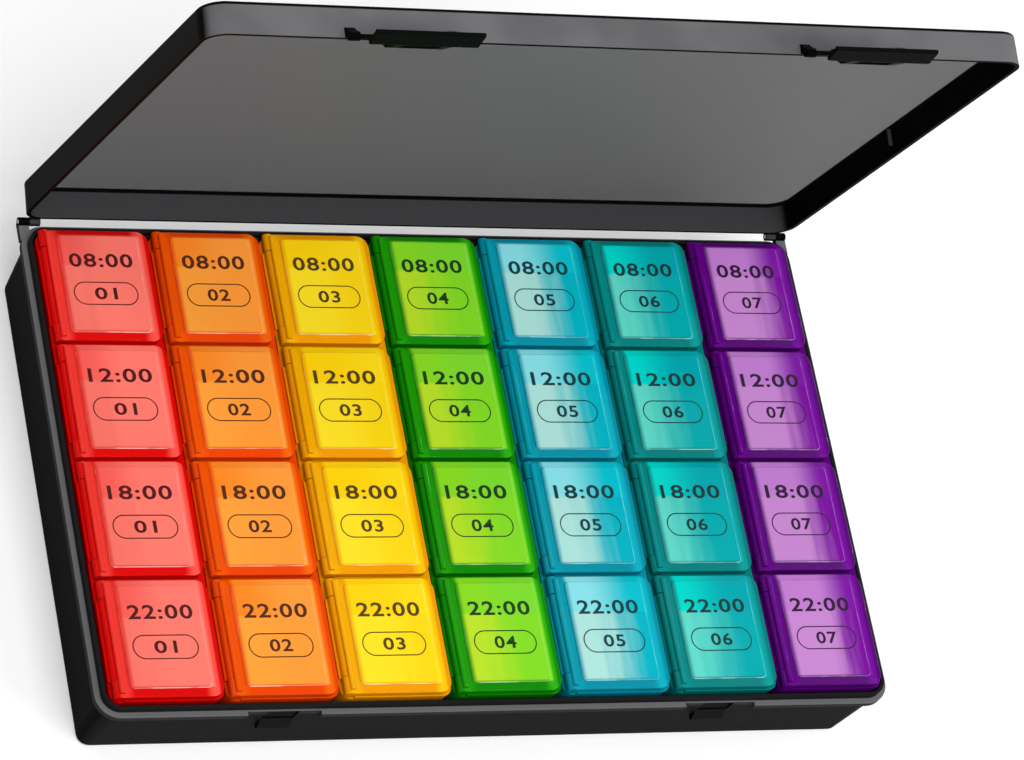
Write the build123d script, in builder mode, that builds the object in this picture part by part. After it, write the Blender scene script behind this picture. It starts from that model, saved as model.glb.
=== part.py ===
"""Weekly pill organizer: a tray with a hinged clear cover that holds seven
lift-out boxes, one for each day, each with four compartments under flip lids.

Millimetres. X runs along the week, Y from front to rear, Z up. The origin is
the centre of the tray's flat bottom. The cover is shown standing open, with
its two latches swung out, and everything else is shut.
"""

import os
from math import radians, tan

from build123d import *

os.makedirs("parts", exist_ok=True)

# Week grid: days along X, compartments along Y
day_count = 7
row_count = 4
day_pitch = 31.5
row_pitch = 33.55

# How far above and below a height its faces or edges are looked for
level_reach = 0.1

# Tray sizes
week_side_gap = 0.4
week_end_gap = 0.55
flange_top = 25.6
flange_thickness = 1.9
flange_radius = 6.4
flange_overhang = 1.1
tray_wall = 1.25
tray_floor = 1.6
tray_draft = 4.6
tray_bottom_round = 1.2
tray_inside_round = 0.8
lip_height = 2.2
lip_thickness = 0.9

# Pill box sizes
box_side_gap = 0.7
box_end_gap = 0.6
box_rim_above_flange = 2.9
box_floor_gap = 0.2
box_wall = 1.3
box_floor = 1.2
box_draft = 4.3
box_corner = 2.6
partition_draft = 1.0
compartment_corner = 1.6
compartment_bottom_round = 1.0

# Flip lid hinge sizes
hinge_from_side = 1.8
hinge_above_rim = 0.8
barrel_radius = 1.2
barrel_web = 1.4
ear_radius = 1.35
ear_length = 4.8
ear_gap = 0.2
ear_clearance = 0.35
stub_radius = 0.6
stub_length = 2.6
stub_clearance = 0.05

# Flip lid sizes
lid_beyond_hinge = 0.1
lid_side_step = 0.35
lid_row_gap = 1.15
lid_seat_gap = 0.2
lid_skirt = 1.8
lid_skirt_wall = 1.0
lid_left_wall = 2.5
lid_corner = 3.4
lid_hinge_corner = 1.0
lid_skin = 0.9
shoulder_rise = 0.65
shoulder_left = 2.8
shoulder_right = 3.65
shoulder_end = 2.0
shoulder_round = 0.5
panel_rise = 0.4
panel_round = 0.35
panel_corner = 1.2
bead_inset = 0.8
bead_radius = 0.8
bead_height = 0.1
seal_depth = 1.0
seal_wall = 0.8
seal_gap = 0.4
seal_corner = 1.4
seal_from_barrel = 0.5

# Cover sizes
cover_edge_inset = 0.1
cover_gap = 0.2
cover_height = 8.75
cover_wall = 1.15
cover_plate = 1.5
cover_draft = 1.5
cover_edge_round = 1.0
cover_open = 80.5
cover_rib_width = 1.6
cover_rib_depth = 1.3
cover_rib_above_rim = 2.5
cover_rib_from_middle = 3.0

# Cover hinge sizes
cover_hinge_behind = 1.45
cover_hinge_below = 0.1
knuckle_radius = 1.15
knuckle_length = 2.8
knuckle_gap = 0.3
knuckle_from_end = 0.1
knuckle_root = 4.0
cover_pin_radius = 0.55
cover_pin_fit = 0.02
cover_pin_clearance = 0.06

# Latch and catch sizes
latch_from_end = 50.8
latch_swing = 80.0
latch_axis_out = 2.4
latch_axis_below = 0.4
latch_barrel_radius = 1.1
latch_pin_radius = 0.6
latch_pin_clearance = 0.06
latch_pin_length = 30.0
latch_lug_radius = 1.2
latch_lug_width = 2.6
latch_lug_root = 3.2
latch_neck_width = 15.0
latch_thumb_width = 28.5
latch_thickness = 1.2
latch_wall_gap = 0.35
latch_bend_below_flange = 4.6
latch_window_width = 10.2
latch_window_above = 0.6
latch_thumb_length = 4.6
latch_thumb_flare = 1.65
latch_clearance = 2.65
catch_width = 9.0
catch_below_flange = 5.9
catch_height = 4.3
catch_reach = 1.5
catch_nose = 1.0
pocket_width = 9.0
pocket_below_flange = 0.3
pocket_height = 5.4
pocket_depth = 0.85

# Derived heights
lip_top = flange_top + lip_height
box_rim = flange_top + box_rim_above_flange
box_bottom = tray_floor + box_floor_gap
box_height = box_rim - box_bottom
hinge_z = box_rim + hinge_above_rim
lid_seat = box_rim + lid_seat_gap
lid_shoulder = lid_seat + lid_skirt
lid_panel_base = lid_shoulder + shoulder_rise
lid_top = lid_panel_base + panel_rise
cover_rim = flange_top + cover_gap
cover_top = cover_rim + cover_height

# Derived plan sizes
inside_width = day_count * day_pitch + 2 * week_side_gap
inside_depth = row_count * row_pitch + 2 * week_end_gap
wall_width = inside_width + 2 * tray_wall
wall_depth = inside_depth + 2 * tray_wall
tray_width = wall_width + 2 * flange_overhang
tray_depth = wall_depth + 2 * flange_overhang
lip_width = inside_width + 2 * lip_thickness
lip_depth = inside_depth + 2 * lip_thickness
wall_radius = flange_radius - flange_overhang
inside_radius = wall_radius - tray_wall
lip_radius = inside_radius + lip_thickness
cover_width = tray_width - 2 * cover_edge_inset
cover_depth = tray_depth - 2 * cover_edge_inset
cover_radius = flange_radius - cover_edge_inset
box_width = day_pitch - box_side_gap
box_length = row_count * row_pitch - box_end_gap
latch_gap_width = latch_neck_width + 2 * latch_clearance
hinge_inset = box_width / 2 - hinge_from_side
lid_left = hinge_inset + lid_beyond_hinge
lid_right = box_width / 2 - lid_side_step
lid_length = row_pitch - lid_row_gap
barrel_length = lid_length - 2 * (ear_length + ear_gap)
panel_left = lid_left - shoulder_left
panel_right = lid_right - shoulder_right
panel_length = lid_length - 2 * shoulder_end
seal_left = hinge_inset - barrel_radius - seal_from_barrel


def front_wall(z):
    """Y of the tray's drafted front wall at height z."""
    return -wall_depth / 2 + (flange_top - z) * tan(radians(tray_draft))


def day_x(day):
    """X of the middle of a day's box, counted from 0 at the left."""
    return (day - (day_count - 1) / 2) * day_pitch


def row_y(row):
    """Y of the middle of a compartment, counted from 0 at the rear."""
    return ((row_count - 1) / 2 - row) * row_pitch


# Cover hinge axis, latch axis and their places in the shut cover
cover_axis_y = tray_depth / 2 + cover_hinge_behind
cover_axis_z = flange_top - cover_hinge_below
cover_axis = Axis((0, cover_axis_y, cover_axis_z), (1, 0, 0))
cover_front = -cover_depth / 2
latch_axis_y = cover_front - latch_axis_out
latch_axis_z = cover_rim - latch_axis_below
catch_top = flange_top - catch_below_flange
catch_bottom = catch_top - catch_height
tray_knuckle_x = tray_width / 2 - knuckle_from_end - knuckle_length / 2
cover_knuckle_x = tray_knuckle_x - knuckle_length - knuckle_gap
hinge_pin_x = (tray_knuckle_x + cover_knuckle_x) / 2
hinge_pin_length = 2 * knuckle_length + knuckle_gap
latch_x = tray_width / 2 - latch_from_end
latch_sides = (-latch_x, latch_x)


# Tray: drafted shell with a flange, a raised lip, hinge knuckles and catches
with BuildPart() as tray:
    with BuildSketch(Plane((0, 0, flange_top), z_dir=(0, 0, -1))):
        RectangleRounded(wall_width, wall_depth, wall_radius)
    extrude(amount=flange_top, taper=tray_draft)
    fillet(tray.faces().sort_by(Axis.Z)[0].edges(), tray_bottom_round)

    with BuildSketch(Plane.XY.offset(flange_top - flange_thickness)):
        RectangleRounded(tray_width, tray_depth, flange_radius)
    extrude(amount=flange_thickness)
    with BuildSketch(Plane.XY.offset(flange_top)):
        RectangleRounded(lip_width, lip_depth, lip_radius)
    extrude(amount=lip_height)

    with BuildSketch(Plane((0, 0, lip_top), z_dir=(0, 0, -1))):
        RectangleRounded(inside_width, inside_depth, inside_radius)
    extrude(amount=lip_height, mode=Mode.SUBTRACT)
    with BuildSketch(Plane((0, 0, flange_top), z_dir=(0, 0, -1))):
        RectangleRounded(inside_width, inside_depth, inside_radius)
    extrude(amount=flange_top - tray_floor, taper=tray_draft, mode=Mode.SUBTRACT)
    floor_face = tray.faces().filter_by_position(
        Axis.Z, tray_floor - level_reach, tray_floor + level_reach
    )
    fillet(floor_face.edges(), tray_inside_round)

    # One hinge knuckle stands behind the flange at each rear corner
    for x in (-tray_knuckle_x, tray_knuckle_x):
        with BuildSketch(Plane.YZ.offset(x)):
            with Locations((cover_axis_y, cover_axis_z)):
                Circle(knuckle_radius)
            with BuildLine():
                Polyline(
                    (tray_depth / 2 - knuckle_root, flange_top - flange_thickness),
                    (cover_axis_y, flange_top - flange_thickness),
                    (cover_axis_y + knuckle_radius, cover_axis_z),
                    (cover_axis_y - knuckle_radius, cover_axis_z),
                    (cover_axis_y - knuckle_radius, flange_top),
                    (tray_depth / 2 - knuckle_root, flange_top),
                    close=True,
                )
            make_face()
        extrude(amount=knuckle_length / 2, both=True)
        with BuildSketch(Plane.YZ.offset(x)):
            with Locations((cover_axis_y, cover_axis_z)):
                Circle(cover_pin_radius + cover_pin_fit)
        extrude(amount=knuckle_length / 2, both=True, mode=Mode.SUBTRACT)

    # The flange is left open at each latch, over a pocket and a catch
    for x in latch_sides:
        with BuildSketch(Plane.XY.offset(flange_top - flange_thickness)):
            with Locations((x, -tray_depth / 2 + flange_overhang / 2)):
                Rectangle(latch_gap_width, flange_overhang)
        extrude(amount=flange_thickness, mode=Mode.SUBTRACT)
        with BuildSketch(Plane.XZ.offset(-front_wall(flange_top))):
            with Locations((x, flange_top - pocket_below_flange - pocket_height / 2)):
                Rectangle(pocket_width, pocket_height)
        extrude(amount=-pocket_depth, mode=Mode.SUBTRACT)
        with BuildSketch(Plane.YZ.offset(x)):
            with BuildLine():
                Polyline(
                    (front_wall(catch_top) + tray_wall / 2, catch_top),
                    (front_wall(catch_top), catch_top),
                    (front_wall(catch_bottom) - catch_reach, catch_bottom + catch_nose),
                    (front_wall(catch_bottom) - catch_reach, catch_bottom),
                    (front_wall(catch_bottom) + tray_wall / 2, catch_bottom),
                    close=True,
                )
            make_face()
        extrude(amount=catch_width / 2, both=True)
tray.part.label = "tray"
export_step(tray.part, "parts/tray.step")


# Cover hinge pins: one short rod through each pair of knuckles
for side, x in zip(("left", "right"), (-hinge_pin_x, hinge_pin_x)):
    with BuildPart() as hinge_pin:
        with BuildSketch(Plane.YZ.offset(x)):
            with Locations((cover_axis_y, cover_axis_z)):
                Circle(cover_pin_radius)
        extrude(amount=hinge_pin_length / 2, both=True)
    hinge_pin.part.label = "hinge_pin_" + side
    export_step(hinge_pin.part, "parts/hinge_pin_" + side + ".step")


# Cover: shallow clear shell, modelled shut on the flange, around the lip
with BuildPart() as cover:
    with BuildSketch(Plane.XY.offset(cover_rim)):
        RectangleRounded(cover_width, cover_depth, cover_radius)
    extrude(amount=cover_height, taper=cover_draft)
    fillet(cover.faces().sort_by(Axis.Z)[-1].edges(), cover_edge_round)
    with BuildSketch(Plane.XY.offset(cover_rim)):
        RectangleRounded(
            cover_width - 2 * cover_wall,
            cover_depth - 2 * cover_wall,
            cover_radius - cover_wall,
        )
    extrude(amount=cover_height - cover_plate, taper=cover_draft, mode=Mode.SUBTRACT)

    # A stiffening rib stands inside each end wall, clear of the lip
    rib_bottom = cover_rim + cover_rib_above_rim
    rib_centre_x = cover_width / 2 - cover_wall - cover_rib_depth / 2
    for x in (-rib_centre_x, rib_centre_x):
        with BuildSketch(Plane.XY.offset(rib_bottom)):
            with Locations((x, cover_rib_from_middle)):
                Rectangle(cover_rib_depth, cover_rib_width)
        extrude(amount=cover_top - cover_plate - rib_bottom)

    # One knuckle on each side, webbed to the rear wall above its rim
    for x in (-cover_knuckle_x, cover_knuckle_x):
        with BuildSketch(Plane.YZ.offset(x)):
            with Locations((cover_axis_y, cover_axis_z)):
                Circle(knuckle_radius)
            with BuildLine():
                Polyline(
                    (cover_depth / 2 - cover_wall / 2, cover_rim),
                    (cover_axis_y, cover_rim),
                    (cover_axis_y, cover_axis_z + knuckle_radius),
                    (cover_depth / 2 - cover_wall / 2, cover_axis_z + knuckle_radius),
                    close=True,
                )
            make_face()
        extrude(amount=knuckle_length / 2, both=True)
        with BuildSketch(Plane.YZ.offset(x)):
            with Locations((cover_axis_y, cover_axis_z)):
                Circle(cover_pin_radius + cover_pin_clearance)
        extrude(amount=knuckle_length / 2, both=True, mode=Mode.SUBTRACT)

    # A pair of lugs on the front wall carries each latch by its two pin ends
    lug_offset = (latch_pin_length - latch_lug_width) / 2
    for x in [s + d for s in latch_sides for d in (-lug_offset, lug_offset)]:
        with BuildSketch(Plane.YZ.offset(x)):
            with Locations((latch_axis_y, latch_axis_z)):
                Circle(latch_lug_radius)
            with BuildLine():
                Polyline(
                    (cover_front + cover_wall / 2, cover_rim),
                    (latch_axis_y, cover_rim),
                    (latch_axis_y, latch_axis_z + latch_lug_radius),
                    (cover_front + cover_wall / 2, cover_rim + latch_lug_root),
                    close=True,
                )
            make_face()
        extrude(amount=latch_lug_width / 2, both=True)
        with BuildSketch(Plane.YZ.offset(x)):
            with Locations((latch_axis_y, latch_axis_z)):
                Circle(latch_pin_radius + latch_pin_clearance)
        extrude(amount=latch_lug_width / 2, both=True, mode=Mode.SUBTRACT)

open_cover = cover.part.rotate(cover_axis, -cover_open)
open_cover.label = "case_lid"
export_step(open_cover, "parts/case_lid.step")


# Latches: a neck that hangs through the flange gap and hooks under the catch,
# ending in a wider thumb plate that flares away from the wall
neck_out = latch_wall_gap + latch_thickness / 2
neck_bend = flange_top - latch_bend_below_flange
neck_bottom = catch_bottom - latch_thickness / 2
thumb_tip_y = front_wall(neck_bottom) - neck_out - latch_thumb_flare
for side, x in zip(("left", "right"), latch_sides):
    with BuildPart() as latch:
        with BuildSketch(Plane.YZ.offset(x)):
            with BuildLine():
                neck_line = Polyline(
                    (latch_axis_y, latch_axis_z),
                    (front_wall(neck_bend) - neck_out, neck_bend),
                    (front_wall(neck_bottom) - neck_out, neck_bottom),
                )
                offset(neck_line, amount=latch_thickness / 2, side=Side.BOTH)
            make_face()
            with Locations((latch_axis_y, latch_axis_z)):
                Circle(latch_barrel_radius)
        extrude(amount=latch_neck_width / 2, both=True)
        with BuildSketch(Plane.YZ.offset(x)):
            with BuildLine():
                thumb_line = Polyline(
                    (front_wall(neck_bottom) - neck_out, neck_bottom),
                    (thumb_tip_y, neck_bottom - latch_thumb_length),
                )
                offset(thumb_line, amount=latch_thickness / 2, side=Side.BOTH)
            make_face()
        extrude(amount=latch_thumb_width / 2, both=True)
        with BuildSketch(Plane.YZ.offset(x)):
            with Locations((latch_axis_y, latch_axis_z)):
                Circle(latch_pin_radius)
        extrude(amount=latch_pin_length / 2, both=True)
        window_bottom = catch_bottom - latch_wall_gap
        window_top = catch_top + latch_window_above
        with BuildSketch(Plane.XZ.offset(-cover_front)):
            with Locations((x, (window_bottom + window_top) / 2)):
                Rectangle(latch_window_width, window_top - window_bottom)
        extrude(amount=2 * latch_thickness, both=True, mode=Mode.SUBTRACT)
    latch_axis = Axis((0, latch_axis_y, latch_axis_z), (1, 0, 0))
    swung_latch = latch.part.rotate(latch_axis, -latch_swing)
    open_latch = swung_latch.rotate(cover_axis, -cover_open)
    open_latch.label = "latch_" + side
    export_step(open_latch, "parts/latch_" + side + ".step")


# Pill box: four drafted compartments in a row, modelled in the middle column
def inner_half_width(z):
    """Half the width inside a box at height z, between its drafted walls."""
    return box_width / 2 - box_wall - (box_rim - z) * tan(radians(box_draft))


def compartment_ends(row, z):
    """Front and rear Y inside a compartment at height z: steep at the ends."""
    drop = box_rim - z
    half = (row_pitch - box_wall) / 2
    lean = drop * tan(radians(partition_draft))
    end_wall = box_length / 2 - box_wall - drop * tan(radians(box_draft))
    front = max(row_y(row) - half + lean, -end_wall)
    rear = min(row_y(row) + half - lean, end_wall)
    return front, rear


with BuildPart() as pill_box:
    with BuildSketch(Plane((0, 0, box_rim), z_dir=(0, 0, -1))):
        RectangleRounded(box_width, box_length, box_corner)
    extrude(amount=box_height, taper=box_draft)

    box_floor_top = box_bottom + box_floor
    for row in range(row_count):
        for z in (box_floor_top, box_rim):
            front, rear = compartment_ends(row, z)
            with BuildSketch(Plane.XY.offset(z)):
                with Locations((0, (front + rear) / 2)):
                    RectangleRounded(
                        2 * inner_half_width(z), rear - front, compartment_corner
                    )
        loft(mode=Mode.SUBTRACT)
    floors = pill_box.faces().filter_by_position(
        Axis.Z, box_floor_top - level_reach, box_floor_top + level_reach
    )
    fillet(floors.edges(), compartment_bottom_round)

    # The left wall is cut down beside each barrel, where a lid's ears turn
    ear_zone = (row_pitch - barrel_length) / 2
    ear_floor = hinge_z - ear_radius - ear_clearance
    ear_side = -hinge_inset + ear_radius + ear_clearance
    ear_slots = [row_y(row) + s * (barrel_length + ear_zone) / 2
                 for row in range(row_count) for s in (-1, 1)]
    with BuildSketch(Plane.XY.offset(ear_floor)):
        with Locations([((ear_side - box_width / 2) / 2, y) for y in ear_slots]):
            Rectangle(box_width / 2 + ear_side, ear_zone)
    extrude(amount=box_rim - ear_floor, mode=Mode.SUBTRACT)

    # One hinge barrel on a web along the left wall of each compartment
    for row in range(row_count):
        with BuildSketch(Plane.XZ.offset(-row_y(row))):
            with Locations((-hinge_inset, hinge_z)):
                Circle(barrel_radius)
            with Locations((-hinge_inset - barrel_radius, hinge_z)):
                Rectangle(barrel_web, hinge_z - ear_floor, align=(Align.MIN, Align.MAX))
        extrude(amount=barrel_length / 2, both=True)
        with BuildSketch(Plane.XZ.offset(-row_y(row))):
            with Locations((-hinge_inset, hinge_z)):
                Circle(stub_radius + stub_clearance)
        extrude(amount=barrel_length / 2, both=True, mode=Mode.SUBTRACT)


# Flip lid: raised panel on a sloping shoulder, with a seal ring underneath and
# two ears whose stubs turn in the barrel, modelled at the middle of the grid
lid_middle = (lid_right - lid_left) / 2
lid_width = lid_right + lid_left
panel_middle = (panel_right - panel_left) / 2
panel_width = panel_right + panel_left
seal_right = inner_half_width(box_rim) - seal_gap
seal_middle = (seal_right - seal_left) / 2
seal_width = seal_right + seal_left
seal_length = 2 * (compartment_ends(0, box_rim)[1] - row_y(0) - seal_gap)
seal_bottom = box_rim - seal_depth
cavity_top = lid_shoulder - lid_skin / 2
ear_middle = (lid_length - ear_length) / 2

with BuildPart() as flip_lid:
    with BuildSketch(Plane.XY.offset(lid_seat)) as lid_outline:
        with Locations((lid_middle, 0)):
            Rectangle(lid_width, lid_length)
        corners = lid_outline.vertices().group_by(Axis.X)
        fillet(corners[-1], lid_corner)
        fillet(corners[0], lid_hinge_corner)
    extrude(amount=lid_skirt)
    with BuildSketch(Plane.XY.offset(lid_shoulder)) as shoulder_outline:
        with Locations((lid_middle, 0)):
            Rectangle(lid_width, lid_length)
        corners = shoulder_outline.vertices().group_by(Axis.X)
        fillet(corners[-1], lid_corner)
        fillet(corners[0], lid_hinge_corner)
    with BuildSketch(Plane.XY.offset(lid_panel_base)) as panel_outline:
        with Locations((panel_middle, 0)):
            RectangleRounded(panel_width, panel_length, panel_corner)
    loft()
    with BuildSketch(Plane.XY.offset(lid_panel_base)):
        with Locations((panel_middle, 0)):
            RectangleRounded(panel_width, panel_length, panel_corner)
    extrude(amount=panel_rise)
    fillet(flip_lid.faces().sort_by(Axis.Z)[-1].edges(), panel_round)
    shoulder_edges = flip_lid.edges().filter_by_position(
        Axis.Z, lid_shoulder - level_reach, lid_shoulder + level_reach
    )
    fillet(shoulder_edges, shoulder_round)

    # A rounded bead runs along the hinge side
    with BuildSketch(Plane.XZ):
        with Locations((-lid_left + bead_inset, lid_shoulder + bead_height)):
            Circle(bead_radius)
    extrude(amount=lid_length / 2 - lid_hinge_corner, both=True)

    # The underside is hollow, then gets its seal ring
    with BuildSketch(Plane.XY.offset(lid_seat)):
        with Locations((lid_middle + (lid_left_wall - lid_skirt_wall) / 2, 0)):
            RectangleRounded(
                lid_width - lid_left_wall - lid_skirt_wall,
                lid_length - 2 * lid_skirt_wall,
                lid_corner - lid_skirt_wall,
            )
    extrude(amount=cavity_top - lid_seat, mode=Mode.SUBTRACT)
    with BuildSketch(Plane.XY.offset(cavity_top)):
        with Locations((panel_middle, 0)):
            RectangleRounded(
                panel_width - 2 * panel_rise, panel_length - 2 * panel_rise, panel_corner
            )
    extrude(amount=lid_top - lid_skin - cavity_top, mode=Mode.SUBTRACT)
    with BuildSketch(Plane.XY.offset(seal_bottom)):
        with Locations((seal_middle, 0)):
            RectangleRounded(seal_width, seal_length, seal_corner)
            RectangleRounded(
                seal_width - 2 * seal_wall,
                seal_length - 2 * seal_wall,
                seal_corner - seal_wall,
                mode=Mode.SUBTRACT,
            )
    extrude(amount=cavity_top - seal_bottom)

    # Room for the barrel, then the ears and their stubs
    with BuildSketch(Plane.XZ):
        with Locations((-hinge_inset, hinge_z)):
            Circle(barrel_radius + ear_clearance)
    extrude(amount=barrel_length / 2 + ear_gap, both=True, mode=Mode.SUBTRACT)
    for y in (-ear_middle, ear_middle):
        with BuildSketch(Plane.XZ.offset(-y)):
            with Locations((-hinge_inset, hinge_z)):
                Circle(ear_radius)
        extrude(amount=ear_length / 2, both=True)
    for y in (-1, 1):
        with BuildSketch(Plane.XZ.offset(y * (barrel_length / 2 + ear_gap))):
            with Locations((-hinge_inset, hinge_z)):
                Circle(stub_radius)
        extrude(amount=-y * (stub_length + ear_gap))

# Each day gets its own box, and each compartment its own flip lid
for day in range(day_count):
    box_copy = pill_box.part.moved(Location((day_x(day), 0, 0)))
    box_copy.label = f"pill_box_{day + 1}"
    export_step(box_copy, f"parts/pill_box_{day + 1}.step")
    for row in range(row_count):
        lid_copy = flip_lid.part.moved(Location((day_x(day), row_y(row), 0)))
        lid_copy.label = f"flip_lid_{day + 1}_{row + 1}"
        export_step(lid_copy, f"parts/flip_lid_{day + 1}_{row + 1}.step")
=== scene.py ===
# %% [markdown]
# # A weekly pill organizer
# The object is a dark moulded tray with a smoke-tinted cover that stands open
# behind it. Seven coloured boxes lie in the tray, one for each day, and each
# has four flip lids with a printed hour and the number of its day.
# The solid parts come from the CAD model, so this lesson gives them their
# finishes, adds what is printed on them, and sets the light and the camera.

import math

import bpy
import numpy as np
from mathutils import Euler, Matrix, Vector


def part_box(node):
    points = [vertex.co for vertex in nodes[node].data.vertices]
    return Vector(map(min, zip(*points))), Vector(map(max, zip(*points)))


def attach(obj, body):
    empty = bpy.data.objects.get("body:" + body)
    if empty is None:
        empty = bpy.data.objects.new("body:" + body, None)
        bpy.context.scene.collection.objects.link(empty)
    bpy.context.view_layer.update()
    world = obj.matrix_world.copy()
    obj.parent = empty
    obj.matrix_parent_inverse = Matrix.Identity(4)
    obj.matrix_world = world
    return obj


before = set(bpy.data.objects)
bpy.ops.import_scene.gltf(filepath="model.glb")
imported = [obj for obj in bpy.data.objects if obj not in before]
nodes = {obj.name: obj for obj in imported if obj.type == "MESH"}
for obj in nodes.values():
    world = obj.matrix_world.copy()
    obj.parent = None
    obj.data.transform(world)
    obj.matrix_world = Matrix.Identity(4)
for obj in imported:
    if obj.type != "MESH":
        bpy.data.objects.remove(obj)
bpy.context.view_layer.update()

MM = 0.001
DAYS = range(1, 8)
ROWS = range(1, 5)


# %% [markdown]
# ## Colours
# A colour read from a photograph is in steps of 0 to 255 on the screen's curve.
# Blender's sockets want linear light, so one helper turns the one into the
# other. Every finish below is written with screen colours, which are easier to
# compare with the photograph. A second helper gives a tone between two of them.

# %% Screen colours
def screen(red, green, blue):
    """Screen colour in 0 to 255 to linear light: the standard two-part curve."""
    levels = np.array([red, green, blue], float) / 255
    low = levels / 12.92
    high = ((levels + 0.055) / 1.055) ** 2.4
    linear = np.where(levels <= 0.04045, low, high)
    return tuple(float(v) for v in linear) + (1.0,)


def mixed(first, second, share):
    """A share of the second screen colour and the rest of the first."""
    return tuple((1 - share) * a + share * b for a, b in zip(first, second))


print("mid grey", round(screen(128, 128, 128)[0], 3))


# %% [markdown]
# ## Materials
# Every finish is a node material around one Principled shader. The plastics
# differ most in how much light they mirror, so that is set as a material is
# made. A CAD piece is one moulding, so one material covers the whole of it.

# %% Materials
def new_material(name, specular=0.5):
    """A node material with one Principled shader, and that shader. Specular is
    0 for a surface that mirrors nothing and 0.5 for common gloss."""
    material = bpy.data.materials.new(name)
    material.use_nodes = True
    shader = material.node_tree.nodes["Principled BSDF"]
    shader.inputs["Specular IOR Level"].default_value = specular
    return material, shader


def paint(node_name, material):
    """Gives a whole CAD node one material."""
    mesh = nodes[node_name].data
    mesh.materials.clear()
    mesh.materials.append(material)


print("pieces to paint", len(nodes))


# %% [markdown]
# ## Masks from the place on the object
# One moulding often shows more than one tone, such as painted light on a flange's top face over a
# darker wall. The border between them lies at a known height, so the mask is worked out from the
# object's own coordinates: 0 on one side, 1 on the other, with a short ramp between. Painted
# textures could do this too, but a mask from coordinates stays sharp at any size and needs no
# picture.
# A mask can also follow the way a face looks, which its normal gives.

# %% Places and directions
UP = (0, 0, 1)
FRONT = (0, -1, 0)
REAR = (0, 1, 0)


def object_place(tree):
    """The object's own coordinates, in metres."""
    return tree.nodes.new("ShaderNodeTexCoord").outputs["Object"]


def dot_with(tree, vector, direction):
    """The dot product: the share of a vector that points along a direction."""
    along = tree.nodes.new("ShaderNodeVectorMath")
    along.operation = "DOT_PRODUCT"
    along.inputs[1].default_value = direction
    tree.links.new(vector, along.inputs[0])
    return along.outputs["Value"]


def place_along(tree, direction, origin=(0, 0, 0)):
    """How far a point lies from an origin along a direction, in metres."""
    moved = tree.nodes.new("ShaderNodeVectorMath")
    moved.operation = "SUBTRACT"
    moved.inputs[1].default_value = origin
    tree.links.new(object_place(tree), moved.inputs[0])
    return dot_with(tree, moved.outputs["Vector"], direction)


def facing(tree, direction):
    """How far a face looks in a direction: 1 straight along it, 0 sideways,
    -1 away from it."""
    normal = tree.nodes.new("ShaderNodeTexCoord").outputs["Normal"]
    return dot_with(tree, normal, direction)


print("up", UP, "front", FRONT, "rear", REAR)

# %% [markdown]
# A ramp turns such a value into a mask. The smooth one eases in and out, so no
# line shows where it ends. The ends of most ramps lie a few tenths of a
# millimetre off an edge of the moulding, and are written that way.

# %% Ramps
def border(edge, start, end):
    """Where a ramp starts and ends, given as millimetres past an edge."""
    return edge + start * MM, edge + end * MM


def step_up(tree, value, start, end, low=0.0, high=1.0):
    """A smooth ramp of a value: low up to start, high from end."""
    ramp = tree.nodes.new("ShaderNodeMapRange")
    ramp.interpolation_type = "SMOOTHSTEP"
    ramp.inputs["From Min"].default_value = start
    ramp.inputs["From Max"].default_value = end
    ramp.inputs["To Min"].default_value = low
    ramp.inputs["To Max"].default_value = high
    tree.links.new(value, ramp.inputs["Value"])
    return ramp.outputs["Result"]


def step_down(tree, value, start, end):
    """A smooth ramp of a value: 1 up to start, 0 from end."""
    return step_up(tree, value, start, end, low=1.0, high=0.0)


def spread(tree, mask, low, high):
    """A mask from 0 to 1 drawn out evenly to a range from low to high."""
    ramp = tree.nodes.new("ShaderNodeMapRange")
    ramp.inputs["To Min"].default_value = low
    ramp.inputs["To Max"].default_value = high
    tree.links.new(mask, ramp.inputs["Value"])
    return ramp.outputs["Result"]


print("a border", border(0.0, -0.2, 0.1), "m")

# %% [markdown]
# Masks are put together by arithmetic: a product is 1 only where all its masks
# are, and a mask chooses between two colours. An input of a node takes another
# node's socket or a plain value, so one small function fills either.

# %% Combining masks
def fill(tree, socket, value):
    """Links a socket to another one, or sets it to a plain value."""
    if isinstance(value, (int, float, tuple)):
        socket.default_value = value
    else:
        tree.links.new(value, socket)


def combine(tree, operation, *values):
    """One Math node over its values, which are sockets or plain numbers."""
    node = tree.nodes.new("ShaderNodeMath")
    node.operation = operation
    for socket, value in zip(node.inputs, values):
        fill(tree, socket, value)
    return node.outputs["Value"]


def product(tree, *masks):
    """All the masks multiplied, one after another."""
    total = masks[0]
    for mask in masks[1:]:
        total = combine(tree, "MULTIPLY", total, mask)
    return total


def blend_colours(tree, mask, low, high):
    """One colour where the mask is 0, another where it is 1."""
    mix = tree.nodes.new("ShaderNodeMix")
    mix.data_type = "RGBA"
    fill(tree, mix.inputs["A"], low)
    fill(tree, mix.inputs["B"], high)
    fill(tree, mix.inputs["Factor"], mask)
    return mix.outputs["Result"]


print("masks combine by one Math node, a product or a blend of colours")


# %% [markdown]
# ## Moulded grain
# Injection-moulded plastic is never perfectly even. A black case has a fine
# grain that breaks up its gloss, and clear parts have slow waves that make
# their highlights wobble. Both are noise on the object's coordinates: a bump
# for the shape, and a small change of roughness for the gloss.

# %% Noise and grain
NOISE_SPAN = (0.3, 0.7)


def noise_over(tree, waves, packing=(1, 1, 1), detail=2.0):
    """Noise with so many waves to the metre, nearly all of it inside the noise
    span. Packing above 1 packs the waves on that axis, below 1 draws them out."""
    packed = tree.nodes.new("ShaderNodeMapping")
    packed.inputs["Scale"].default_value = packing
    tree.links.new(object_place(tree), packed.inputs["Vector"])
    noise = tree.nodes.new("ShaderNodeTexNoise")
    noise.inputs["Scale"].default_value = waves
    noise.inputs["Detail"].default_value = detail
    tree.links.new(packed.outputs["Vector"], noise.inputs["Vector"])
    return noise.outputs["Fac"]


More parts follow.
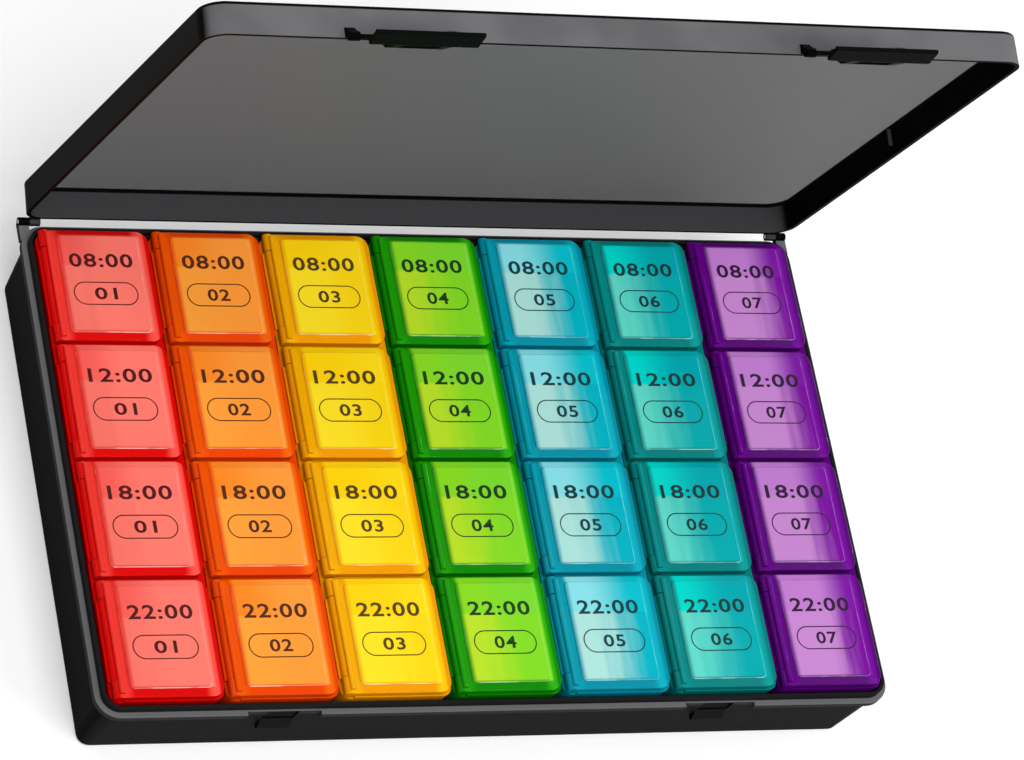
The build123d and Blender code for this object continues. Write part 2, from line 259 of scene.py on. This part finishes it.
def moulded_grain(tree, shader, wave, depth, roughness, packing=(1, 1, 1)):
    """Bump and roughness from one noise: a wave's length and its depth in
    metres, and the roughness at the noise's low and high end."""
    noise = noise_over(tree, 1 / wave, packing)
    bump = tree.nodes.new("ShaderNodeBump")
    bump.inputs["Distance"].default_value = depth
    tree.links.new(noise, bump.inputs["Height"])
    tree.links.new(bump.outputs["Normal"], shader.inputs["Normal"])
    tree.links.new(step_up(tree, noise, *NOISE_SPAN, *roughness), shader.inputs["Roughness"])


print("noise from", NOISE_SPAN[0], "to", NOISE_SPAN[1])


# %% [markdown]
# ## The tray
# The tray is black plastic with a fine matt wall. Light is painted into its colour: the wall is
# near black at its sides and a painted grey where it faces the light in front, and the flange is
# a lighter painted grey, lightest on its top face, while the lip that the cover closes over is a
# darker grey and the hinge knuckles behind are black again. One Principled shader does them all:
# the colour steps at the flange's faces. The catches and the pockets over them are part of the
# wall.

# %% Tray finish
FLANGE_TOP = 25.6 * MM
FLANGE_FOOT = FLANGE_TOP - 1.9 * MM
FLANGE_REAR = 70.0 * MM
FRONT_SPAN = (0.5, 0.9)

tray_plastic, tray_shader = new_material("tray_plastic", specular=0.005)
tray_tree = tray_plastic.node_tree
tray_height = place_along(tray_tree, UP)
above_wall = step_up(tray_tree, tray_height, *border(FLANGE_FOOT, -0.2, 0))
on_top_face = step_up(tray_tree, tray_height, *border(FLANGE_TOP, -0.25, -0.1))
above_flange = step_up(tray_tree, tray_height, *border(FLANGE_TOP, 0.1, 0.3))
on_knuckle = step_up(tray_tree, place_along(tray_tree, REAR), *border(FLANGE_REAR, 0.1, 0.3))
faces_front = step_up(tray_tree, facing(tray_tree, FRONT), *FRONT_SPAN)

# Painted light: the wall's front faces and the flange are grey where light falls on them, the
# flange's top face most.
wall_painted_light = blend_colours(tray_tree, faces_front, screen(8, 8, 9), screen(27, 27, 28))
flange_painted_light = blend_colours(tray_tree, on_top_face, screen(52, 52, 54), screen(104, 104, 106))
tray_tone = blend_colours(tray_tree, above_wall, wall_painted_light, flange_painted_light)
tray_tone = blend_colours(tray_tree, above_flange, tray_tone, screen(30, 30, 31))
tray_tone = blend_colours(tray_tree, on_knuckle, tray_tone, screen(9, 9, 10))
tray_tree.links.new(tray_tone, tray_shader.inputs["Base Color"])
moulded_grain(tray_tree, tray_shader, wave=0.5 * MM, depth=0.012 * MM, roughness=(0.36, 0.46))
paint("tray", tray_plastic)


# %% [markdown]
# ## The latches and the hinge pins
# The latches are the same black plastic, but polished, so that only their edges
# shine. The pins are drawn steel rods: bright metal, with fine lines that run
# along the rod. Noise packed across the rod and drawn out along it gives them.

# %% Latch and pin finishes
SIDES = ("left", "right")
ACROSS_THE_ROD = (1, 20, 20)

latch_plastic, latch_shader = new_material("latch_plastic", specular=0.012)
latch_shader.inputs["Base Color"].default_value = screen(10, 10, 11)
moulded_grain(
    latch_plastic.node_tree, latch_shader,
    wave=1.5 * MM, depth=0.01 * MM, roughness=(0.26, 0.34),
)

pin_steel, pin_shader = new_material("pin_steel")
pin_shader.inputs["Base Color"].default_value = screen(190, 192, 196)
pin_shader.inputs["Metallic"].default_value = 1.0
moulded_grain(
    pin_steel.node_tree, pin_shader,
    wave=2 * MM, depth=0.003 * MM, roughness=(0.22, 0.36), packing=ACROSS_THE_ROD,
)
for side in SIDES:
    paint(f"latch_{side}", latch_plastic)
    paint(f"hinge_pin_{side}", pin_steel)
latch_low, latch_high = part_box("latch_left")
print("latch width", round((latch_high[0] - latch_low[0]) / MM, 1))


# %% [markdown]
# ## The cover
# The cover is clear plastic with a smoke tint. Looking straight through its
# plate, about a seventh of the light comes through. Its walls are seen nearly
# edge on, through far more plastic, and look almost black. So the plate is
# thin in alpha and the walls are dense, with the border at the plate's inner
# face. The cover is stored open, so two directions are needed: out through its
# plate, and up from its hinge to its latches.

# %% Directions of the open cover
COVER_OPEN = math.radians(80.5)
COVER_AXIS = Vector((0, 71.45, 25.5)) * MM
COVER_RIM_OUT = 0.3 * MM
cover_out = Vector((0, math.sin(COVER_OPEN), math.cos(COVER_OPEN)))
cover_up = Vector((0, -math.cos(COVER_OPEN), math.sin(COVER_OPEN)))
cover_rim_point = COVER_AXIS + cover_out * COVER_RIM_OUT
print("cover leans", round(90 - math.degrees(COVER_OPEN), 1), "degrees forward")

# %% [markdown]
# How clear a point is follows from two masks: how deep it lies in the cover,
# and whether its face is one of the plate's two flat ones. Glass with a real
# tint could do this too, but its rays would have to bounce through every wall,
# while alpha costs little and is as dense as it is told to be.

# %% Clear plate and dense walls
PLATE_FACE = 7.25 * MM
FLAT_SPAN = (0.8, 0.97)
WALL_ALPHA = 0.997
PLATE_ALPHA = 0.628

cover_plastic, cover_shader = new_material("cover_plastic", specular=0.01)
cover_tree = cover_plastic.node_tree
depth_in_cover = place_along(cover_tree, cover_out, cover_rim_point)
in_plate = step_up(cover_tree, depth_in_cover, *border(PLATE_FACE, -0.3, -0.05))
faces_out = facing(cover_tree, cover_out)
flat_on = step_up(cover_tree, combine(cover_tree, "ABSOLUTE", faces_out), *FLAT_SPAN)
cover_alpha = spread(
    cover_tree, product(cover_tree, in_plate, flat_on), WALL_ALPHA, PLATE_ALPHA
)
cover_tree.links.new(cover_alpha, cover_shader.inputs["Alpha"])
print("light through both faces of the plate", round((1 - PLATE_ALPHA) ** 2, 3))

# %% [markdown]
# Where a wall faces up, light is painted on it as grey: lighter on the wall that the latches hang
# on, and with painted shade darker inside the rear wall. The plate's outer edge and the lugs stay
# black, because there the light would have to run through far more plastic. Slow noise breaks up
# the painted grey. The outer face is polished, and the hollow inside is softer.

# %% Painted light on the cover
PLATE_ROUND = 7.75 * MM
COVER_MIDDLE = 70 * MM
LATCH_WALL = 141.35 * MM
UP_SPAN = (0.35, 0.75)
OUT_SPAN = (0.2, 0.8)
CLOUD_WAVES = 45
INSIDE_ROUGHNESS, OUTSIDE_ROUGHNESS = 0.42, 0.14

height_in_cover = place_along(cover_tree, cover_up, cover_rim_point)
# Painted light: faces that look up are grey, darker inside the rear wall, where painted shade
# falls.
painted_light_on_cover = product(
    cover_tree,
    step_up(cover_tree, facing(cover_tree, cover_up), *UP_SPAN),
    step_down(cover_tree, depth_in_cover, *border(PLATE_ROUND, -0.2, 0.1)),
    step_down(cover_tree, height_in_cover, *border(LATCH_WALL, 0.1, 0.3)),
)
far_from_hinge = step_up(cover_tree, height_in_cover, *border(COVER_MIDDLE, 0, 5))
cloud = step_up(cover_tree, noise_over(cover_tree, CLOUD_WAVES), *NOISE_SPAN)
latch_wall_painted_light = blend_colours(cover_tree, cloud, screen(94, 94, 96), screen(108, 108, 110))
up_painted_light = blend_colours(cover_tree, far_from_hinge, screen(62, 62, 64), latch_wall_painted_light)
cover_tone = blend_colours(cover_tree, painted_light_on_cover, screen(6, 6, 6), up_painted_light)
cover_tree.links.new(cover_tone, cover_shader.inputs["Base Color"])
polish = step_up(cover_tree, faces_out, *OUT_SPAN, INSIDE_ROUGHNESS, OUTSIDE_ROUGHNESS)
cover_tree.links.new(polish, cover_shader.inputs["Roughness"])
paint("case_lid", cover_plastic)


# %% [markdown]
# ## Where a point lies in its compartment
# All lids of a day share one material. So that a pattern falls in the same
# place on each of them, its coordinates are folded: X is counted from the
# day's middle, and Y wraps round once for each compartment. A lid keeps its
# own coordinates when it opens, so the pattern opens with it.

# %% Cell coordinates
DAY_PITCH = 31.5 * MM
ROW_PITCH = 33.55 * MM
MIDDLE_DAY = 4
MIDDLE_ROW = 2.5


def cell_place(tree, day):
    """Across and along a compartment, both counted from its middle: X less the
    day's place, and Y wrapped into one pitch less half of it."""
    split = tree.nodes.new("ShaderNodeSeparateXYZ")
    tree.links.new(object_place(tree), split.inputs["Vector"])
    across = combine(tree, "SUBTRACT", split.outputs["X"], (day - MIDDLE_DAY) * DAY_PITCH)
    wrapped = combine(tree, "WRAP", split.outputs["Y"], ROW_PITCH, 0.0)
    along = combine(tree, "SUBTRACT", wrapped, ROW_PITCH / 2)
    return across, along


print("compartment", round(DAY_PITCH / MM, 2), "by", round(ROW_PITCH / MM, 2), "mm")


# %% [markdown]
# ## The day colours
# Each day's box and lids are one tinted, translucent plastic. A lid's skirt and
# sloping rim look deep and saturated, because the light runs along inside the
# wall there. Its raised panel looks pale, because light comes up through it
# from the box below: evenly behind the hour, and in soft upright streaks over
# the compartment's floor, paler to the left and deeper to the right. Real
# transparency would need a bright room inside each box, so the light that
# comes through is painted instead, and the gloss on top is real.
# Upper is the panel behind the hour and lower the panel over the floor, each
# with its left and its right tone. The one turns into the other between the
# two places of turn, in millimetres from the lid's middle.

# %% Colours of the days
DAY_COLOURS = {
    1: {"deep": (210, 6, 4), "slope": (250, 80, 68), "upper": ((240, 92, 84), (254, 118, 106)),
        "lower": ((240, 112, 100), (252, 120, 106)), "turn": (-9, 3)},
    2: {"deep": (226, 66, 2), "slope": (238, 98, 6), "upper": ((249, 134, 36), (253, 152, 58)),
        "lower": ((250, 158, 58), (253, 152, 56)), "turn": (-9, 6)},
    3: {"deep": (232, 150, 2), "slope": (246, 190, 6), "upper": ((253, 208, 14), (252, 216, 24)),
        "lower": ((252, 222, 38), (250, 212, 20)), "turn": (-4, 10)},
    4: {"deep": (14, 130, 2), "slope": (40, 168, 8), "upper": ((134, 214, 36), (122, 214, 46)),
        "lower": ((182, 220, 42), (128, 214, 38)), "turn": (-8, 6)},
    5: {"deep": (4, 138, 158), "slope": (6, 166, 186), "upper": ((134, 220, 228), (8, 188, 202)),
        "lower": ((170, 222, 214), (4, 176, 192)), "turn": (-5, 8)},
    6: {"deep": (4, 122, 120), "slope": (4, 148, 146), "upper": ((2, 212, 200), (2, 162, 170)),
        "lower": ((96, 212, 196), (4, 166, 170)), "turn": (-10, 6)},
    7: {"deep": (82, 2, 110), "slope": (108, 4, 146), "upper": ((188, 122, 202), (122, 24, 158)),
        "lower": ((194, 132, 202), (120, 14, 154)), "turn": (0, 10)},
}
print("days", len(DAY_COLOURS))

# %% [markdown]
# Highlights are painted along the panel's rounded edges, most of all at the right and at the
# front. Such an edge is found by its height and by its normal, which looks neither straight up
# nor sideways. The bead beside the hinge is left out, because it shows no highlight.

# %% Painted highlights on the edges
PANEL_FOOT = 31.13 * MM
BEAD_RIGHT = (-11.2 * MM, -10.9 * MM)
TOP_SPAN = (0.86, 0.94)
SIDE_SPAN = (0.1, 0.4)
LIT_DIRECTION = (0.9, -0.4, 0)
LIT_SPAN = (-0.1, 0.35)
AWAY_HIGHLIGHT, LIT_HIGHLIGHT = 0.15, 0.8
HIGHLIGHT_WAVES = 130
HIGHLIGHT_SPAN = (0.42, 0.6)
WEAKEST_HIGHLIGHT = 0.35


def painted_edge_highlight(tree, across):
    """How strong the painted highlight on the panel's rounded edge is: the product of masks for
    its shape and its place, of the way it looks, and of a slow noise along it."""
    upward = facing(tree, UP)
    rounded = product(tree, step_down(tree, upward, *TOP_SPAN),
                      step_up(tree, upward, *SIDE_SPAN))
    on_panel = product(tree, step_up(tree, place_along(tree, UP), *border(PANEL_FOOT, 0, 0.05)),
                       step_up(tree, across, *BEAD_RIGHT))
    lit_side = step_up(tree, facing(tree, LIT_DIRECTION), *LIT_SPAN, low=AWAY_HIGHLIGHT, high=LIT_HIGHLIGHT)
    strength = step_up(tree, noise_over(tree, HIGHLIGHT_WAVES), *HIGHLIGHT_SPAN, low=WEAKEST_HIGHLIGHT)
    return product(tree, rounded, on_panel, lit_side, strength)


print("panel edge from", round(PANEL_FOOT / MM, 2), "mm up")

# %% [markdown]
# The slopes beside the panel are a tone of their own, between the deep colour and the panel's:
# painted light that comes through them. The right one shows it in full, and the left one, with
# painted shade where the hinge shades it, by a half.

# %% Slopes beside the panel
SLOPE_INNER = (9.3 * MM, 12.2 * MM)
SLOPE_OUTER = (13.0 * MM, 14.0 * MM)
LEFT_TO_RIGHT = (-1 * MM, 1 * MM)
LEFT_SHARE = 0.5


def slope_share(tree, across):
    """1 on the slope at the right of the panel, the left share at its left:
    the product of a ramp up, a ramp down and the side's share."""
    aside = combine(tree, "ABSOLUTE", across)
    return product(tree, step_up(tree, aside, *SLOPE_INNER),
                   step_down(tree, aside, *SLOPE_OUTER),
                   step_up(tree, across, *LEFT_TO_RIGHT, low=LEFT_SHARE))


print("slopes from", round(SLOPE_INNER[0] / MM, 1), "to", round(SLOPE_OUTER[1] / MM, 1), "mm")

# %% [markdown]
# The pale field is a product of ramps: one for each side that the panel ends
# on. Behind the first row the cover darkens the lid's rear slope, so the field
# ends there before it. The streaks are fine noise drawn out along the lid,
# which shifts the turn from the left colour to the right one.

# %% Pale field and streaks
FIELD_LEFT = (-11.0 * MM, -9.3 * MM)
FIELD_RIGHT = (11.8 * MM, 12.8 * MM)
FIELD_FRONT = (-14.2 * MM, -13.4 * MM)
FIRST_ROW_REAR = (64.2 * MM, 65.2 * MM)
STREAK_WAVES = 330
STREAK_PACKING = (1, 0.09, 0.3)
STREAK_DETAIL = 3.0


def pale_field(tree, across, along):
    """1 on the lid's panel, 0 on its sloping rim and its skirt."""
    return product(tree, step_up(tree, across, *FIELD_LEFT),
                   step_down(tree, across, *FIELD_RIGHT),
                   step_up(tree, along, *FIELD_FRONT),
                   step_down(tree, place_along(tree, REAR), *FIRST_ROW_REAR))


def streaks(tree):
    """Upright streaks about 3 mm wide: noise less its middle value."""
    noise = noise_over(tree, STREAK_WAVES, STREAK_PACKING, STREAK_DETAIL)
    return combine(tree, "SUBTRACT", noise, sum(NOISE_SPAN) / 2)


print("streaks to the metre", STREAK_WAVES)

# %% [markdown]
# A lid's colour is built up in layers, as a painter would: the deep rim with its slopes, painted
# shade on the skirt, the pale panel, and last painted highlights on the edges.
# The panel's two parts meet about 5 mm behind the lid's middle. Over them all
# lies a polish with long, shallow waves, which bend its reflections.

# %% Lid plastic
FLOOR_BORDER = (4.9 * MM, 5.7 * MM)
STREAK_SHIFT = 11 * MM
SKIRT_SPAN = (0.3, 0.6)
SKIRT_SHADE = 0.88
HIGHLIGHT_WHITE = 0.65
WHITE = (255, 255, 255)
POLISH_WAVE = 9 * MM
POLISH_DEPTH = 0.05 * MM


def panel_tone(tree, look, across, along):
    """The panel's colour: left to right by a ramp behind the hour, and by the
    same ramp shifted by the streaks over the floor."""
    start, end = (place * MM for place in look["turn"])
    even = step_up(tree, across, start, end)
    shifted = combine(tree, "MULTIPLY_ADD", streaks(tree), STREAK_SHIFT, across)
    streaky = step_up(tree, shifted, start, end)
    upper = blend_colours(tree, even, *(screen(*tone) for tone in look["upper"]))
    lower = blend_colours(tree, streaky, *(screen(*tone) for tone in look["lower"]))
    behind_hour = step_up(tree, along, *FLOOR_BORDER)
    return blend_colours(tree, behind_hour, lower, upper)


def lid_plastic(day):
    """Deep at the rim with painted shade on the skirt, pale and streaky with painted light on the
    panel, painted highlights on its edges, glossy over all.
    """
    look = DAY_COLOURS[day]
    material, shader = new_material(f"lid_plastic_{day}", specular=0.045)
    tree = material.node_tree
    across, along = cell_place(tree, day)
    deep, slope = screen(*look["deep"]), screen(*look["slope"])
    # Painted shade: the skirt's side faces are the deep colour darkened.
    skirt_shade = screen(*(SKIRT_SHADE * part for part in look["deep"]))
    highlight_tone = screen(*mixed(look["upper"][1], WHITE, HIGHLIGHT_WHITE))
    on_skirt = step_down(tree, facing(tree, UP), *SKIRT_SPAN)
    colour = blend_colours(tree, slope_share(tree, across), deep, slope)
    colour = blend_colours(tree, on_skirt, colour, skirt_shade)
    panel = panel_tone(tree, look, across, along)
    colour = blend_colours(tree, pale_field(tree, across, along), colour, panel)
    # Painted highlights on the panel's rounded edges.
    colour = blend_colours(tree, painted_edge_highlight(tree, across), colour, highlight_tone)
    tree.links.new(colour, shader.inputs["Base Color"])
    moulded_grain(tree, shader, POLISH_WAVE, POLISH_DEPTH, roughness=(0.08, 0.12))
    return material


for day in DAYS:
    finish = lid_plastic(day)
    for row in ROWS:
        paint(f"flip_lid_{day}_{row}", finish)
print("lid finishes", len(DAYS), "lids", len(DAYS) * len(ROWS))


# %% [markdown]
# ## The boxes
# A box is the same plastic as its lids. It is deepest at its thick rim, and lighter towards its
# floor, where painted light stands for the light that the thin walls let through.

# %% Box plastic
BOX_FLOOR = 3.0 * MM
BOX_SHOULDER = 25.5 * MM
DEEP_AT_FLOOR = 0.55


def box_plastic(day):
    """Pale with painted light at the floor, deep at the rim, glossy: a ramp of the height."""
    look = DAY_COLOURS[day]
    material, shader = new_material(f"box_plastic_{day}", specular=0.03)
    tree = material.node_tree
    near_rim = step_up(tree, place_along(tree, UP), BOX_FLOOR, BOX_SHOULDER)
    # Painted light: the floor's paler tone stands for light coming through the thin walls.
    floor_painted_light = mixed(look["lower"][0], look["deep"], DEEP_AT_FLOOR)
    colour = blend_colours(tree, near_rim, screen(*floor_painted_light), screen(*look["deep"]))
    tree.links.new(colour, shader.inputs["Base Color"])
    moulded_grain(tree, shader, POLISH_WAVE, POLISH_DEPTH, roughness=(0.09, 0.14))
    return material


for day in DAYS:
    paint(f"pill_box_{day}", box_plastic(day))
print("box finishes", len(DAYS))


# %% [markdown]
# ## What is printed on the lids
# Each lid carries an hour and, in a thin rounded frame, the number of its day.
# The frame is a surface of two parameters: one goes round a stadium shape, the
# other across the line. A curve with a bevel could draw it, but a flat band
# lies on the plastic as ink does and needs few faces.

# %% Frame line
FRAME_LENGTH = 17.9 * MM
FRAME_WIDTH = 6.8 * MM
FRAME_LINE = 0.32 * MM
FRAME_STEPS = 64


def stadium(length, width, angle):
    """Points of a stadium: a circle of the end's radius, pushed apart along X
    by half the straight length on the side that the angle looks towards."""
    radius = width / 2
    push = (length / 2 - radius) * np.sign(np.cos(angle))
    return np.stack([radius * np.cos(angle) + push, radius * np.sin(angle)], axis=-1)


def frame_line_mesh(centre, level):
    """A flat closed band: the stadium less the line's width all round at one
    edge, and the stadium's outer line at the other."""
    angle = (np.arange(FRAME_STEPS) + 0.5) / FRAME_STEPS * 2 * np.pi
    outer = stadium(FRAME_LENGTH, FRAME_WIDTH, angle)
    inner = stadium(FRAME_LENGTH - 2 * FRAME_LINE, FRAME_WIDTH - 2 * FRAME_LINE, angle)
    flat = np.concatenate([inner, outer]) + np.array(centre)
    points = np.column_stack([flat, np.full(len(flat), level)])
    here = np.arange(FRAME_STEPS)
    following = (here + 1) % FRAME_STEPS
    faces = np.column_stack([here, here + FRAME_STEPS, following + FRAME_STEPS, following])
    return points, faces


print("frame line faces", len(frame_line_mesh((0, 0), 0)[1]))

# %% [markdown]
# The numerals are text turned into a mesh. The built-in typeface is thin and
# narrow, so its outline is pushed out to make it bold, and its points are
# stretched to the height and width that the print has on the real lids.

# %% Numerals
BOLD = 0.02
LETTER_SPACING = 1.12
CURVE_STEPS = 4


def numerals_mesh(words, height, width, centre, level):
    """Text as flat faces: its box is stretched to height and width, and its
    middle is put at the centre."""
    curve = bpy.data.curves.new("words", "FONT")
    curve.body = words
    curve.offset = BOLD
    curve.space_character = LETTER_SPACING
    curve.resolution_u = CURVE_STEPS
    holder = bpy.data.objects.new("words", curve)
    mesh = bpy.data.meshes.new_from_object(holder)
    points = np.zeros(len(mesh.vertices) * 3)
    mesh.vertices.foreach_get("co", points)
    points = points.reshape(-1, 3)[:, :2]
    low, high = points.min(axis=0), points.max(axis=0)
    points = (points - (low + high) / 2) / (high - low) * (width, height) + np.array(centre)
    faces = [tuple(polygon.vertices) for polygon in mesh.polygons]
    bpy.data.objects.remove(holder)
    bpy.data.curves.remove(curve)
    bpy.data.meshes.remove(mesh)
    return np.column_stack([points, np.full(len(points), level)]), faces


print("points in 08:00", len(numerals_mesh("08:00", 1, 1, (0, 0), 0)[0]))

# %% [markdown]
# The frame and the two texts of a lid are one print, so they become one mesh.
# Its points are the lists of its parts one after another, and each part's
# faces count on from the points before it.

# %% Joining the print
def new_object(name, data):
    """An object for a mesh, a light or a camera, linked into the scene."""
    thing = bpy.data.objects.new(name, data)
    bpy.context.scene.collection.objects.link(thing)
    return thing


def join_parts(name, parts):
    """One mesh object from several lists of points and faces."""
    points, faces, start = [], [], 0
    for part_points, part_faces in parts:
        points.append(part_points)
        faces += [tuple(int(i) + start for i in face) for face in part_faces]
        start += len(part_points)
    mesh = bpy.data.meshes.new(name)
    mesh.from_pydata(np.concatenate(points).tolist(), [], faces)
    mesh.update()
    return new_object(name, mesh)


# %% [markdown]
# The ink is a thin dark film, and the plastic's own colour shows through it a
# little. So each day has its own ink: a dark grey with a share of the day's
# deep colour. It lies a hair above the panel, because two surfaces in exactly
# the same place flicker. Each print rides on its own flip lid.

# %% Print on every lid
PANEL_TOP = 31.55 * MM
INK_ABOVE = 0.02 * MM
INK_GREY = 26
INK_TINT = 0.24
FRAME_PLACE = Vector((0.35, -2.9)) * MM
HOUR_PLACE = Vector((0.35, 6.8)) * MM
HOUR_SIZE = (4.0 * MM, 17.6 * MM)
NUMBER_SIZE = (3.5 * MM, 6.2 * MM)
HOURS = {1: "08:00", 2: "12:00", 3: "18:00", 4: "22:00"}


def day_ink(day):
    """Dark grey with a share of the day's deep colour, a little uneven."""
    material, shader = new_material(f"ink_{day}", specular=0.1)
    tone = [INK_GREY + INK_TINT * part for part in DAY_COLOURS[day]["deep"]]
    shader.inputs["Base Color"].default_value = screen(*tone)
    moulded_grain(
        material.node_tree, shader, wave=0.6 * MM, depth=0.002 * MM, roughness=(0.35, 0.5)
    )
    return material


for day in DAYS:
    ink = day_ink(day)
    for row in ROWS:
        cell = Vector(((day - MIDDLE_DAY) * DAY_PITCH, (MIDDLE_ROW - row) * ROW_PITCH))
        level = PANEL_TOP + INK_ABOVE
        frame_centre = cell + FRAME_PLACE
        lid_print = join_parts(f"print_{day}_{row}", [
            frame_line_mesh(frame_centre, level),
            numerals_mesh(f"0{day}", *NUMBER_SIZE, frame_centre, level),
            numerals_mesh(HOURS[row], *HOUR_SIZE, cell + HOUR_PLACE, level),
        ])
        lid_print.data.materials.append(ink)
        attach(lid_print, f"flip_lid_{day}_{row}")
print("printed lids", len(DAYS) * len(ROWS))


# %% [markdown]
# ## Floor and background
# The floor is a plain sheet, nearly white, that keeps the object's shadow. What
# the camera sees of it glows a little, so that its lit part is as white as the
# sky, while the light that it throws on the object stays as it was.

# %% Floor
FLOOR_SIZE = 6.0
FLOOR_LIFT = 0.27


def light_path(tree):
    """What kind of ray meets the surface, as masks of 0 and 1."""
    return tree.nodes.new("ShaderNodeLightPath").outputs


def white_floor():
    """A square sheet at the height of the tray's bottom."""
    half = FLOOR_SIZE / 2
    corners = [(-half, -half, 0), (half, -half, 0), (half, half, 0), (-half, half, 0)]
    mesh = bpy.data.meshes.new("floor")
    mesh.from_pydata(corners, [], [(0, 1, 2, 3)])
    floor = new_object("floor", mesh)
    material, shader = new_material("floor_white", specular=0.0)
    shader.inputs["Base Color"].default_value = screen(230, 230, 231)
    shader.inputs["Roughness"].default_value = 0.9
    shader.inputs["Emission Color"].default_value = (1, 1, 1, 1)
    tree = material.node_tree
    lift = combine(tree, "MULTIPLY", light_path(tree)["Is Camera Ray"], FLOOR_LIFT)
    tree.links.new(lift, shader.inputs["Emission Strength"])
    mesh.materials.append(material)


white_floor()
print("floor", FLOOR_SIZE, "m square")

# %% [markdown]
# The world is white at full strength for the camera, for mirror-like rays and
# for rays that pass through something. For the soft light that falls on the
# object it is weaker, and the lamps add the rest, so a white background
# doesn't flood it.

# %% World
FILL = 0.22

world = bpy.data.worlds.new("studio")
bpy.context.scene.world = world
world.use_nodes = True
sky = world.node_tree
background = sky.nodes["Background"]
background.inputs["Color"].default_value = (1, 1, 1, 1)
ray = light_path(sky)
seen = combine(sky, "MAXIMUM", ray["Is Camera Ray"], ray["Is Glossy Ray"])
seen = combine(sky, "MAXIMUM", seen, ray["Is Transmission Ray"])
sky.links.new(spread(sky, seen, FILL, 1.0), background.inputs["Strength"])
print("fill light", FILL)


# %% [markdown]
# ## Lamps
# The cover stands between the lids and whatever is behind them, so the main
# lamp hangs high up in front, where it throws no shadow of the cover on them.
# A soft one at the right gives the object its shadow on the floor to the left.
# Three narrow lamps are small but bright: their reflections are thin lines of
# light along the rounded edges of the lids.

# %% Lamps
LAMP_TARGET = Vector((0, 0, 0.03))


def soft_lamp(name, place, size, watts):
    """A rectangular lamp that faces the object's middle."""
    light = bpy.data.lights.new(name, "AREA")
    light.shape = "RECTANGLE"
    light.size, light.size_y = size
    light.energy = watts
    lamp = new_object(name, light)
    lamp.location = place
    aim = LAMP_TARGET - Vector(place)
    lamp.rotation_euler = aim.to_track_quat("-Z", "Y").to_euler()


soft_lamp("lamp_over", (-0.3, -1.5, 3.5), (2.3, 2.3), 101.0)
soft_lamp("lamp_right", (1.3, -0.2, 1.4), (0.9, 0.9), 5.0)
soft_lamp("line_front", (0.7, -0.9, 1.35), (0.5, 0.015), 4.5)
soft_lamp("line_right", (1.6, 0.7, 0.25), (0.5, 0.02), 6.0)
soft_lamp("line_back", (-0.9, 0.65, 1.3), (0.5, 0.015), 4.0)
print("lamps", len(bpy.data.lights))


# %% [markdown]
# ## Camera
# The place, turn and focal length come from a fit of the model's known corners
# to the same corners in the photograph. The lens is long and stands well back,
# which keeps the rows of lids nearly parallel.

# %% Camera
CAMERA_PLACE = Vector((-589.0, -570.7, 1212.9)) * MM
CAMERA_TURN = (28.782, -22.086, -11.209)
FOCAL_LENGTH = 191.32
SENSOR_WIDTH = 36

camera_data = bpy.data.cameras.new("camera")
camera_data.lens = FOCAL_LENGTH
camera_data.sensor_width = SENSOR_WIDTH
camera = new_object("camera", camera_data)
camera.location = CAMERA_PLACE
camera.rotation_euler = Euler([math.radians(turn) for turn in CAMERA_TURN], "XYZ")
bpy.context.scene.camera = camera
bpy.context.scene.view_settings.view_transform = "Standard"
print("camera distance", round(camera.location.length, 3))
